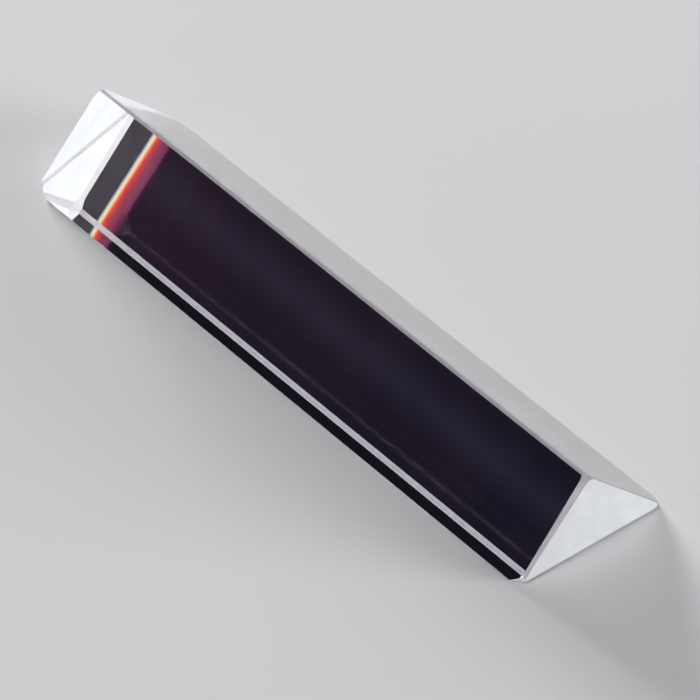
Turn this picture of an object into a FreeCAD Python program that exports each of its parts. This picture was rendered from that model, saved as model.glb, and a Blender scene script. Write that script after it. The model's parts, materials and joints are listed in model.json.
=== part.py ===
import FreeCAD, Part
import math
import os

# A long right-angle prism, ground and polished from one bar of clear optical glass. All sizes
# are in millimetres and all angles in degrees.
#
# The prism lies on its widest face, as it does on a bench. X runs along the prism, Y runs
# across it from the near leg face to the far one, and +Z points up to the ridge. The origin
# is the middle of the base face. Three long faces are polished flat: the base and the two leg
# faces. Everything else is ground: both triangular ends, a narrow flat along each long edge,
# a bevel round each end, and the rounded corners where the bevels meet.

# Whole bar, measured to its sharp edges before they are ground off
length = 87.5                # from one end face to the other
leg_width = 14.0             # each leg face, from the ridge to the base edge
ridge_angle = 90.0           # between the two leg faces

# Ground flats along the three long edges, each square to the bisector of its edge
ridge_flat_width = 0.48
base_flat_width = 0.18       # the same at the near and the far edge of the base

# Bevels round each end, at 45 degrees: how far each one cuts in from its long face. Those
# along a leg can be wider at the ridge or at the base.
near_end_bevel_at_ridge = 0.56
near_end_bevel_at_base = 0.30
base_end_bevel = 0.36
right_far_bevel = 0.12
left_far_bevel_at_ridge = 0.48
left_far_bevel_at_base = 0.62

# Corners of the right end face: the radius on the face itself, and how far the rounding runs
# back along the ground flat behind it
right_ridge_radius = 0.80
right_far_radius = 0.36
right_near_radius = 0.24
right_ridge_run = 0.60
right_base_run = 1.50        # at the far and the near corner

# The same corners at the left end, where the grinding runs further back
left_ridge_radius = 1.50
left_far_radius = 0.24
left_near_radius = 0.24
left_ridge_run = 0.90
left_base_run = 2.30


def unit(vector):
    """The vector scaled to a length of one."""
    return vector * (1.0 / vector.Length)


def sharp_section():
    """Corners of the sharp triangular section at the ridge, the far edge and the near edge."""
    half_angle = math.radians(ridge_angle / 2)
    half_base = leg_width * math.sin(half_angle)
    height = leg_width * math.cos(half_angle)
    ridge = FreeCAD.Vector(0, 0, height)
    far = FreeCAD.Vector(0, half_base, 0)
    near = FreeCAD.Vector(0, -half_base, 0)
    return [ridge, far, near]


def half_corner_angle(corners, index):
    """Half of the angle at one corner of a triangle, in radians."""
    corner = corners[index]
    to_next = corners[(index + 1) % 3] - corner
    to_last = corners[index - 1] - corner
    return to_next.getAngle(to_last) / 2


def inward_bisector(corners, index):
    """Unit vector from one corner of a triangle along the bisector of its angle."""
    corner = corners[index]
    to_next = unit(corners[(index + 1) % 3] - corner)
    to_last = unit(corners[index - 1] - corner)
    return unit(to_next + to_last)


def flat_depth(corners, index, flat_width):
    """How far below its sharp edge a ground flat of the given width lies."""
    return flat_width / (2 * math.tan(half_corner_angle(corners, index)))


def polygon_wire(points, x):
    """Closed wire through points of the section, moved to the given place along the bar."""
    moved = [FreeCAD.Vector(x, point.y, point.z) for point in points]
    return Part.makePolygon(moved + moved[:1])


def flatted_section(corners, flat_widths):
    """Points of the section once its three sharp corners are ground to flats."""
    points = []
    for index, flat_width in enumerate(flat_widths):
        corner = corners[index]
        cut = flat_width / (2 * math.sin(half_corner_angle(corners, index)))
        points.append(corner + unit(corners[index - 1] - corner) * cut)
        points.append(corner + unit(corners[(index + 1) % 3] - corner) * cut)
    return points


def end_bevels(far_at_ridge, far_at_base):
    """How far the end bevels cut in along each side of the section, at its start and its end.

    Side number i runs from corner i to the next one.
    """
    far_leg = (far_at_ridge, far_at_base)
    base = (base_end_bevel, base_end_bevel)
    near_leg = (near_end_bevel_at_base, near_end_bevel_at_ridge)
    return [far_leg, base, near_leg]


def bevelled_triangle(corners, bevels, depth):
    """Triangle that the bevel planes cut out of the bar, at a depth behind the end face."""
    sides = []
    for index, (start_inset, end_inset) in enumerate(bevels):
        start, end = corners[index], corners[(index + 1) % 3]
        along = unit(end - start)
        inward = FreeCAD.Vector(0, along.z, -along.y)
        if inward.dot(corners[index - 1] - start) < 0:
            inward = inward * -1.0
        moved_start = start + inward * (start_inset - depth)
        moved_end = end + inward * (end_inset - depth)
        sides.append((moved_start, unit(moved_end - moved_start)))
    moved = []
    for index in range(3):
        last_point, last_along = sides[index - 1]
        point, along = sides[index]
        gap = point - last_point
        turn = last_along.y * along.z - last_along.z * along.y
        reach = (gap.y * along.z - gap.z * along.y) / turn
        moved.append(last_point + last_along * reach)
    return moved


def rounded_triangle_wire(corners, radii, x):
    """Closed wire of three straight sides joined by three tangent arcs."""
    arcs = []
    for index, radius in enumerate(radii):
        corner = corners[index]
        half_angle = half_corner_angle(corners, index)
        tangent = radius / math.tan(half_angle)
        start = corner + unit(corners[index - 1] - corner) * tangent
        end = corner + unit(corners[(index + 1) % 3] - corner) * tangent
        crown = radius / math.sin(half_angle) - radius
        middle = corner + inward_bisector(corners, index) * crown
        arcs.append([FreeCAD.Vector(x, point.y, point.z) for point in (start, middle, end)])
    edges = []
    for index, (start, middle, end) in enumerate(arcs):
        edges.append(Part.Arc(start, middle, end).toShape())
        edges.append(Part.makeLine(end, arcs[(index + 1) % 3][0]))
    return Part.Wire(edges)


def corner_growth(corners, bevels, index, radius, run, flat_width):
    """How fast a corner's radius grows along the bar, in millimetres a millimetre.

    At the end of its run the rounding has just left the ground flat behind it.
    """
    spread = bevelled_triangle(corners, bevels, run)
    bisector = inward_bisector(spread, index)
    depth = flat_depth(corners, index, flat_width)
    flat_point = corners[index] + inward_bisector(corners, index) * depth
    crown = (flat_point - spread[index]).dot(bisector)
    end_radius = crown / (1 / math.sin(half_corner_angle(spread, index)) - 1)
    return (end_radius - radius) / run


def end_waste(corners, flat_widths, bevels, radii, runs):
    """What is ground away at the +X end: the bevels round the end face and its corners."""
    depth = 2 * max(runs)
    spread_radii = []
    for index, radius in enumerate(radii):
        growth = corner_growth(corners, bevels, index, radius, runs[index], flat_widths[index])
        spread_radii.append(radius + growth * depth)
    end_x = length / 2
    end_outline = rounded_triangle_wire(bevelled_triangle(corners, bevels, 0), radii, end_x)
    spread = bevelled_triangle(corners, bevels, depth)
    deep_outline = rounded_triangle_wire(spread, spread_radii, end_x - depth)
    kept = Part.makeLoft([deep_outline, end_outline], True, True)
    block_width = 4 * leg_width
    block_start = FreeCAD.Vector(end_x - depth, -block_width / 2, -block_width / 2)
    block = Part.makeBox(depth, block_width, block_width, block_start)
    return block.cut(kept)


def glass_prism():
    """The whole prism: the flatted bar with both of its ends bevelled."""
    corners = sharp_section()
    flat_widths = [ridge_flat_width, base_flat_width, base_flat_width]
    start = polygon_wire(flatted_section(corners, flat_widths), -length / 2)
    bar = Part.Face(start).extrude(FreeCAD.Vector(length, 0, 0))
    right_radii = [right_ridge_radius, right_far_radius, right_near_radius]
    right_runs = [right_ridge_run, right_base_run, right_base_run]
    right_bevels = end_bevels(right_far_bevel, right_far_bevel)
    right_waste = end_waste(corners, flat_widths, right_bevels, right_radii, right_runs)
    left_radii = [left_ridge_radius, left_far_radius, left_near_radius]
    left_runs = [left_ridge_run, left_base_run, left_base_run]
    left_bevels = end_bevels(left_far_bevel_at_ridge, left_far_bevel_at_base)
    left_waste = end_waste(corners, flat_widths, left_bevels, left_radii, left_runs)
    middle = FreeCAD.Vector(0, 0, 0)
    left_waste = left_waste.mirror(middle, FreeCAD.Vector(1, 0, 0))
    return bar.cut(right_waste).cut(left_waste)


os.makedirs("parts", exist_ok=True)
prism = glass_prism()
prism.exportStep("parts/prism.step")
box = prism.optimalBoundingBox()
print("prism: solids", len(prism.Solids), "faces", len(prism.Faces), "valid", prism.isValid())
print("prism: size", round(box.XLength, 3), round(box.YLength, 3), round(box.ZLength, 3))
print("prism: volume", round(prism.Volume, 2))
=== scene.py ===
import json
import math

import bpy
from mathutils import Matrix, Vector


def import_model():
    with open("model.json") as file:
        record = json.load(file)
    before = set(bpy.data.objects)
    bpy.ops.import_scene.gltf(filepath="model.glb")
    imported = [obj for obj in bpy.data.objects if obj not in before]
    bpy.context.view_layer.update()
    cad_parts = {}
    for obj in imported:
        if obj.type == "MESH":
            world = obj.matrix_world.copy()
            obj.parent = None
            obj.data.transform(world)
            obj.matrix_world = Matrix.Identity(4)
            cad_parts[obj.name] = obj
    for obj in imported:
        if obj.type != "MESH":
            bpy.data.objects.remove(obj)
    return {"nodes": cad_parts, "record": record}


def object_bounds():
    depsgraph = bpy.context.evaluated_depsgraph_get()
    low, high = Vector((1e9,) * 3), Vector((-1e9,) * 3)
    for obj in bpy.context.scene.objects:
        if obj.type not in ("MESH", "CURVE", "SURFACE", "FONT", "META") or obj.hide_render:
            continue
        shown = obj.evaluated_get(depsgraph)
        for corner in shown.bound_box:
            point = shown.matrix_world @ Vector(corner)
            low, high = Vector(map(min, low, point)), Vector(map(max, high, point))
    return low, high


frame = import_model()
cad_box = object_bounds()

# Lengths are in metres and angles in degrees. A compass direction is given as an azimuth, which
# is 0 towards -Y, the near side of the prism, and 90 towards +X, its right end.
MM = 0.001

# Camera: where it stands as seen from the prism, and the point that it looks at
VIEW_AZIMUTH = 56.014
VIEW_ELEVATION = 40.349
VIEW_ROLL = -4.950
VIEW_DISTANCE = 725.3 * MM
VIEW_AIM = Vector((1.032, 0.66, -0.740)) * MM
LENS = 344.27
SENSOR = 36.0
CLIP_NEAR = 10 * MM
CLIP_FAR = 20.0

# Floor: an air gap under the polished base keeps it a mirror from inside
FLOOR_SIZE = 6.0
FLOOR_GAP = 0.02 * MM
FLOOR_COLOR = (0.69, 0.69, 0.70, 1)

# Lamps: two low soft boxes that face the ground ends, and a faint one overhead. Each has its
# azimuth, elevation, distance, width, height and power in watts.
LAMPS = {
    "left_box": (-105, 10, 1.2, 0.40, 0.24, 30.5),
    "right_box": (125, 8, 1.2, 0.60, 0.24, 17.0),
    "top_box": (20, 78, 0.8, 0.40, 0.40, 2.3),
}

# World: a pale wall at the horizon, under a dark ceiling that is darker still low down. The
# heights are elevations.
WALL_COLOR = (0.60, 0.60, 0.62, 1)
WALL_TOP = 9.0
CEILING_START = 20.0
LOW_CEILING_COLOR = (0.0060, 0.0064, 0.0105, 1)
LOW_CEILING_TOP = 27.0
HIGH_CEILING_START = 36.0

# What the camera sees in the near leg face is a narrow strip of that ceiling: its two ends,
# as azimuth and elevation, the colours there, and a faint lighter streak along it
STRIP_LEFT = (-122.2, 39.0)
STRIP_RIGHT = (-125.8, 41.7)
CEILING_RED = (0.020, 0.0110, 0.0215, 1)
CEILING_BLUE = (0.0095, 0.0080, 0.0165, 1)
RIPPLE_WAVES = 90.0
RIPPLE_SHARE = 0.25
STREAK_COLOR = (0.0085, 0.0080, 0.0130, 1)
STREAK_PLACE = 0.0014        # sine of its angle from the line between the two ends
STREAK_REACH = 0.0045

# Fringe: a glowing card behind the far leg face, with the colours of a dispersion fringe painted
# across it, gives the band of colours that shows through the prism beside its left end, as painted
# light in place of dispersed light. The places along X are those on the leg face, and each colour
# has its share of the way from the left edge to the right one.
FRINGE_LEFT = -39.98 * MM
FRINGE_RIGHT = -35.97 * MM
FRINGE_LEAN = 2.1            # degrees by which it leans to the right end at the base
FRINGE_GAP = 2.0 * MM
FRINGE_DRIFT = -0.90         # how far the view moves along X for each step away from the face
FRINGE_HEIGHT = 16.0 * MM
FRINGE_STRENGTH = 1.1
FRINGE_COLORS = (
    (0.03, (0.00, 0.01, 0.02, 1)),
    (0.07, (0.19, 0.24, 0.25, 1)),
    (0.12, (0.55, 0.59, 0.52, 1)),
    (0.17, (0.95, 0.72, 0.42, 1)),
    (0.22, (0.95, 0.40, 0.12, 1)),
    (0.27, (0.78, 0.11, 0.02, 1)),
    (0.33, (0.59, 0.00, 0.00, 1)),
    (0.53, (0.20, 0.00, 0.02, 1)),
    (0.80, (0.125, 0.00, 0.05, 1)),
    (0.89, (0.050, 0.00, 0.020, 1)),
    (1.00, (0.00, 0.00, 0.00, 1)),
)

# Glass: crown glass, polished on the faces that the record names as leg and base faces
GLASS_IOR = 1.517
POLISHED = ("base_face", "near_leg_face", "far_leg_face")
POLISH_REACH = 0.01 * MM

# Ground surfaces: a share of them scatters light both ways, and the rest is rough clear glass
GROUND_SCATTER = 0.85
GROUND_ROUGHNESS = 0.6
GROUND_DARK = (0.61, 0.63, 0.65, 1)
GROUND_PALE = (0.67, 0.69, 0.71, 1)
CLOUD_WAVES = 0.5            # waves a millimetre
GRAIN_WAVES = 9.0
GRAIN_DETAIL = 3.0
GRAIN_STRENGTH = 0.35
GRAIN_HEIGHT = 0.03 * MM

# The end faces are ground coarser than the bevels and the edge flats: how much of the scattered
# light each sends back to where it came from, and how much painted shade each has. The bevels and
# edge flats are darkened, and a little purple, for the less light that falls on them. The depths
# are measured from the end faces, and the bevels' painted shade fades into that of the edge flats
# between two of them.
END_BACK_SHARE = 0.45
FINE_BACK_SHARE = 0.02
END_TINT = (1, 1, 1, 1)
BEVEL_PAINTED_SHADE = (0.70, 0.66, 0.675, 1)
EDGE_PAINTED_SHADE = (0.86, 0.83, 0.87, 1)
END_DEPTH = 0.01 * MM
BEVEL_DEPTH = 0.7 * MM
CORNER_DEPTH = 2.3 * MM

# Most of a noise value lies between these two
NOISE_LOW = 0.3
NOISE_HIGH = 0.7

# Enough bounces for light that runs the length of the bar between its ends
MAX_BOUNCES = 24
GLASS_BOUNCES = 16


def direction(azimuth, elevation):
    """Unit vector from the prism towards a compass direction and a height above the floor."""
    az, el = math.radians(azimuth), math.radians(elevation)
    return Vector((math.cos(el) * math.sin(az), -math.cos(el) * math.cos(az), math.sin(el)))


def steepness(elevation):
    """The height of a unit vector that points to an elevation."""
    return math.sin(math.radians(elevation))


def axes(right, up, back):
    """The turn that brings X, Y and Z to three directions."""
    return Matrix((right, up, back)).transposed().to_4x4()


def leg_face(name):
    """The outward normal of a face that the record names, and its middle."""
    mount = next(mount for mount in frame["record"]["mounts"] if mount["name"] == name)
    return Vector(mount["axis"]), Vector(mount["pos_m"])


def add(tree, kind, **settings):
    """A new node of that kind with its settings made."""
    node = tree.nodes.new(kind)
    for name, value in settings.items():
        setattr(node, name, value)
    return node


def feed(tree, socket, value):
    """Link an output to the socket, or set the socket to a plain value."""
    if isinstance(value, bpy.types.NodeSocket):
        tree.links.new(value, socket)
    else:
        socket.default_value = value


def combine(tree, operation, *values):
    """The output of a Math node on the values, which are numbers or outputs."""
    node = add(tree, "ShaderNodeMath", operation=operation)
    for socket, value in zip(node.inputs, values):
        feed(tree, socket, value)
    return node.outputs[0]


def spread(tree, value, from_low, from_high, to_low, to_high):
    """The value mapped from one range to another, and held within it."""
    node = add(tree, "ShaderNodeMapRange")
    for socket, number in zip(node.inputs, (value, from_low, from_high, to_low, to_high)):
        feed(tree, socket, number)
    return node.outputs[0]


def blend_colors(tree, share, first, second, blend_type="MIX"):
    """The output of a colour mix from first, at a share of 0, to second, at a share of 1."""
    node = add(tree, "ShaderNodeMix", data_type="RGBA", blend_type=blend_type)
    # Of this node's sockets, 0 is the share, and 6 and 7 in and 2 out are the colours
    feed(tree, node.inputs[0], share)
    feed(tree, node.inputs[6], first)
    feed(tree, node.inputs[7], second)
    return node.outputs[2]


def blend_shaders(tree, share, first, second):
    """The output of a shader mix from first, at a share of 0, to second, at a share of 1."""
    node = add(tree, "ShaderNodeMixShader")
    feed(tree, node.inputs[0], share)
    feed(tree, node.inputs[1], first)
    feed(tree, node.inputs[2], second)
    return node.outputs[0]


def project(tree, vector, onto):
    """The dot product of a vector output with a fixed vector."""
    node = add(tree, "ShaderNodeVectorMath", operation="DOT_PRODUCT")
    feed(tree, node.inputs[0], vector)
    feed(tree, node.inputs[1], onto)
    return node.outputs["Value"]


def split(tree, vector):
    """The three outputs X, Y and Z of a vector output."""
    node = add(tree, "ShaderNodeSeparateXYZ")
    feed(tree, node.inputs[0], vector)
    return node.outputs


def texture_place(tree, kind):
    """The output of that kind of the texture coordinates."""
    return add(tree, "ShaderNodeTexCoord").outputs[kind]


def noise(tree, vector, waves, detail=2.0):
    """A noise value from 0 to 1 at each point, with that many waves for each unit."""
    node = add(tree, "ShaderNodeTexNoise")
    feed(tree, node.inputs["Vector"], vector)
    feed(tree, node.inputs["Scale"], waves)
    feed(tree, node.inputs["Detail"], detail)
    return node.outputs[0]


def node_material(name):
    """An empty node material, its node tree and the socket that takes its surface."""
    material = bpy.data.materials.new(name)
    material.use_nodes = True
    tree = material.node_tree
    tree.nodes.clear()
    return material, tree, add(tree, "ShaderNodeOutputMaterial").inputs["Surface"]


def view_camera():
    """The camera at the photograph's viewing angle."""
    back = direction(VIEW_AZIMUTH, VIEW_ELEVATION)
    level = Vector((0, 0, 1)).cross(back).normalized()
    right = Matrix.Rotation(math.radians(VIEW_ROLL), 3, back) @ level
    data = bpy.data.cameras.new("view_camera")
    data.lens = LENS
    data.sensor_width = SENSOR
    data.sensor_fit = "HORIZONTAL"
    data.clip_start = CLIP_NEAR
    data.clip_end = CLIP_FAR
    camera = bpy.data.objects.new("view_camera", data)
    bpy.context.scene.collection.objects.link(camera)
    place = Matrix.Translation(VIEW_AIM + back * VIEW_DISTANCE)
    camera.matrix_world = place @ axes(right, back.cross(right), back)
    bpy.context.scene.camera = camera


def floor():
    """A plain pale floor."""
    material, tree, surface = node_material("pale_floor")
    shader = add(tree, "ShaderNodeBsdfDiffuse")
    feed(tree, shader.inputs["Color"], FLOOR_COLOR)
    feed(tree, surface, shader.outputs[0])
    bpy.ops.mesh.primitive_plane_add(size=FLOOR_SIZE, location=(0, 0, -FLOOR_GAP))
    plane = bpy.context.object
    plane.name = "floor"
    plane.data.materials.append(material)


def soft_box(name, azimuth, elevation, distance, width, height, power):
    """A rectangular lamp aimed at the prism."""
    away = direction(azimuth, elevation)
    data = bpy.data.lights.new(name, "AREA")
    data.shape = "RECTANGLE"
    data.size, data.size_y = width, height
    data.energy = power
    lamp = bpy.data.objects.new(name, data)
    bpy.context.scene.collection.objects.link(lamp)
    lamp.location = away * distance
    lamp.rotation_euler = away.to_track_quat("Z", "Y").to_euler()
    lamp.visible_camera = False


def high_ceiling(tree, ray):
    """The colour of the ceiling above: it turns along the strip, with a streak across it."""
    left, right = direction(*STRIP_LEFT), direction(*STRIP_RIGHT)
    along = (right - left).normalized()
    waves = spread(tree, noise(tree, ray, RIPPLE_WAVES), NOISE_LOW, NOISE_HIGH, -1.0, 1.0)
    ripple = combine(tree, "MULTIPLY", waves, RIPPLE_SHARE)
    where = spread(tree, project(tree, ray, along), left.dot(along), right.dot(along), 0.0, 1.0)
    tint = combine(tree, "ADD", where, ripple)
    ceiling = blend_colors(tree, tint, CEILING_RED, CEILING_BLUE)
    across = project(tree, ray, left.cross(right).normalized())
    gap = combine(tree, "ABSOLUTE", combine(tree, "SUBTRACT", across, STREAK_PLACE))
    streak = spread(tree, gap, 0.0, STREAK_REACH, 1.0, 0.0)
    return blend_colors(tree, streak, ceiling, STREAK_COLOR, "ADD")


def world():
    """A dark studio with a pale wall low all round."""
    studio = bpy.data.worlds.new("studio")
    bpy.context.scene.world = studio
    studio.use_nodes = True
    tree = studio.node_tree
    ray = texture_place(tree, "Generated")
    height = split(tree, ray)["Z"]
    higher = spread(tree, height, steepness(LOW_CEILING_TOP), steepness(HIGH_CEILING_START), 0.0, 1.0)
    ceiling = blend_colors(tree, higher, LOW_CEILING_COLOR, high_ceiling(tree, ray))
    above = spread(tree, height, steepness(WALL_TOP), steepness(CEILING_START), 0.0, 1.0)
    color = blend_colors(tree, above, WALL_COLOR, ceiling)
    feed(tree, tree.nodes["Background"].inputs["Color"], color)


def painted_fringe_glow(half_width):
    """The material of the coloured card: it glows with the painted colours of a dispersion fringe across
    its width and lets light through.
    """
    material, tree, surface = node_material("painted_fringe_glow")
    place = split(tree, texture_place(tree, "Object"))["X"]
    ramp = add(tree, "ShaderNodeValToRGB")
    feed(tree, ramp.inputs[0], spread(tree, place, -half_width, half_width, 0.0, 1.0))
    # A new ramp has two stops, and the one that can't be removed turns black
    stops = ramp.color_ramp.elements
    stops.remove(stops[1])
    stops[0].color = (0, 0, 0, 1)
    for share, color in FRINGE_COLORS:
        stops.new(share).color = color
    glow = add(tree, "ShaderNodeEmission")
    feed(tree, glow.inputs["Color"], ramp.outputs["Color"])
    feed(tree, glow.inputs["Strength"], FRINGE_STRENGTH)
    both = add(tree, "ShaderNodeAddShader")
    feed(tree, both.inputs[0], glow.outputs[0])
    feed(tree, both.inputs[1], add(tree, "ShaderNodeBsdfTransparent").outputs[0])
    feed(tree, surface, both.outputs[0])
    return material


def fringe():
    """The coloured card, a glow with painted fringe colours. Only light that has passed through the
    prism shows it.
    """
    half_width = (FRINGE_RIGHT - FRINGE_LEFT) / 2
    half_height = FRINGE_HEIGHT / 2
    corners = [(x, y, 0) for x, y in ((-half_width, -half_height), (half_width, -half_height),
                                      (half_width, half_height), (-half_width, half_height))]
    mesh = bpy.data.meshes.new("fringe_card")
    mesh.from_pydata(corners, [], [(0, 1, 2, 3)])
    mesh.materials.append(painted_fringe_glow(half_width))
    card = bpy.data.objects.new("fringe_card", mesh)
    bpy.context.scene.collection.objects.link(card)
    away, middle = leg_face("far_leg_face")
    center = middle + away * FRINGE_GAP
    center.x = (FRINGE_LEFT + FRINGE_RIGHT) / 2 + FRINGE_DRIFT * FRINGE_GAP
    along = Matrix.Rotation(math.radians(-FRINGE_LEAN), 3, away) @ Vector((1, 0, 0))
    card.matrix_world = Matrix.Translation(center) @ axes(along, away.cross(along), away)
    for kind in ("camera", "diffuse", "glossy", "shadow", "volume_scatter"):
        setattr(card, "visible_" + kind, False)


def polish_gap(tree, place):
    """How far a point lies from the nearest of the planes of the polished faces."""
    gaps = []
    for name in POLISHED:
        normal, middle = leg_face(name)
        height = combine(tree, "SUBTRACT", project(tree, place, normal), normal.dot(middle))
        gaps.append(combine(tree, "ABSOLUTE", height))
    return combine(tree, "MINIMUM", combine(tree, "MINIMUM", gaps[0], gaps[1]), gaps[2])


def grain_relief(tree, in_mm, ground):
    """The normal of the surface, roughened where it is ground."""
    relief = add(tree, "ShaderNodeBump")
    feed(tree, relief.inputs["Strength"], combine(tree, "MULTIPLY", ground, GRAIN_STRENGTH))
    feed(tree, relief.inputs["Distance"], GRAIN_HEIGHT)
    feed(tree, relief.inputs["Height"], noise(tree, in_mm, GRAIN_WAVES, GRAIN_DETAIL))
    return relief.outputs[0]


def clear_glass(tree, ground, relief):
    """Glass that light goes straight through, rough where it is ground."""
    clear = add(tree, "ShaderNodeBsdfPrincipled")
    feed(tree, clear.inputs["Base Color"], (1, 1, 1, 1))
    feed(tree, clear.inputs["Transmission Weight"], 1.0)
    feed(tree, clear.inputs["IOR"], GLASS_IOR)
    feed(tree, clear.inputs["Roughness"], combine(tree, "MULTIPLY", ground, GROUND_ROUGHNESS))
    feed(tree, clear.inputs["Normal"], relief)
    return clear.outputs[0]


def ground_glass(tree, place, in_mm, relief):
    """A white surface that scatters light through and back, by where it is on the prism, and painted
    shade that darkens its bevels and edge flats.
    """
    from_middle = combine(tree, "ABSOLUTE", split(tree, place)["X"])
    half_length = cad_box[1][0]
    at_end = combine(tree, "GREATER_THAN", from_middle, half_length - END_DEPTH)
    near_end = spread(tree, from_middle, half_length - CORNER_DEPTH, half_length - BEVEL_DEPTH, 0.0, 1.0)
    # Painted shade: the tint darkens the bevels and edge flats for the less light that falls on them,
    # and leaves the end faces white
    fine_painted_shade = blend_colors(tree, near_end, EDGE_PAINTED_SHADE, BEVEL_PAINTED_SHADE)
    tint = blend_colors(tree, at_end, fine_painted_shade, END_TINT)
    cloud = spread(tree, noise(tree, in_mm, CLOUD_WAVES), NOISE_LOW, NOISE_HIGH, 0.0, 1.0)
    white = blend_colors(tree, cloud, GROUND_DARK, GROUND_PALE)
    white = blend_colors(tree, 1.0, white, tint, "MULTIPLY")
    through = add(tree, "ShaderNodeBsdfTranslucent")
    back = add(tree, "ShaderNodeBsdfDiffuse")
    for shader in (through, back):
        feed(tree, shader.inputs["Color"], white)
        feed(tree, shader.inputs["Normal"], relief)
    back_share = spread(tree, at_end, 0.0, 1.0, FINE_BACK_SHARE, END_BACK_SHARE)
    return blend_shaders(tree, back_share, through.outputs[0], back.outputs[0])


def glass():
    """Clear glass, polished on the long faces and finely ground everywhere else."""
    material, tree, surface = node_material("optical_glass")
    place = texture_place(tree, "Object")
    scale = add(tree, "ShaderNodeVectorMath", operation="SCALE")
    feed(tree, scale.inputs[0], place)
    feed(tree, scale.inputs["Scale"], 1 / MM)
    in_mm = scale.outputs[0]
    ground = combine(tree, "GREATER_THAN", polish_gap(tree, place), POLISH_REACH)
    relief = grain_relief(tree, in_mm, ground)
    clear = clear_glass(tree, ground, relief)
    scatter = ground_glass(tree, place, in_mm, relief)
    share = combine(tree, "MULTIPLY", ground, GROUND_SCATTER)
    feed(tree, surface, blend_shaders(tree, share, clear, scatter))

    prism = frame["nodes"]["prism"]
    prism.data.materials.clear()
    prism.data.materials.append(material)


def light_paths():
    """The limits on how often light bounces."""
    cycles = bpy.context.scene.cycles
    cycles.max_bounces = MAX_BOUNCES
    cycles.glossy_bounces = GLASS_BOUNCES
    cycles.transmission_bounces = GLASS_BOUNCES


view_camera()
floor()
world()
for lamp_name, values in LAMPS.items():
    soft_box(lamp_name, *values)
fringe()
glass()
light_paths()
bpy.context.scene.view_settings.view_transform = "Standard"
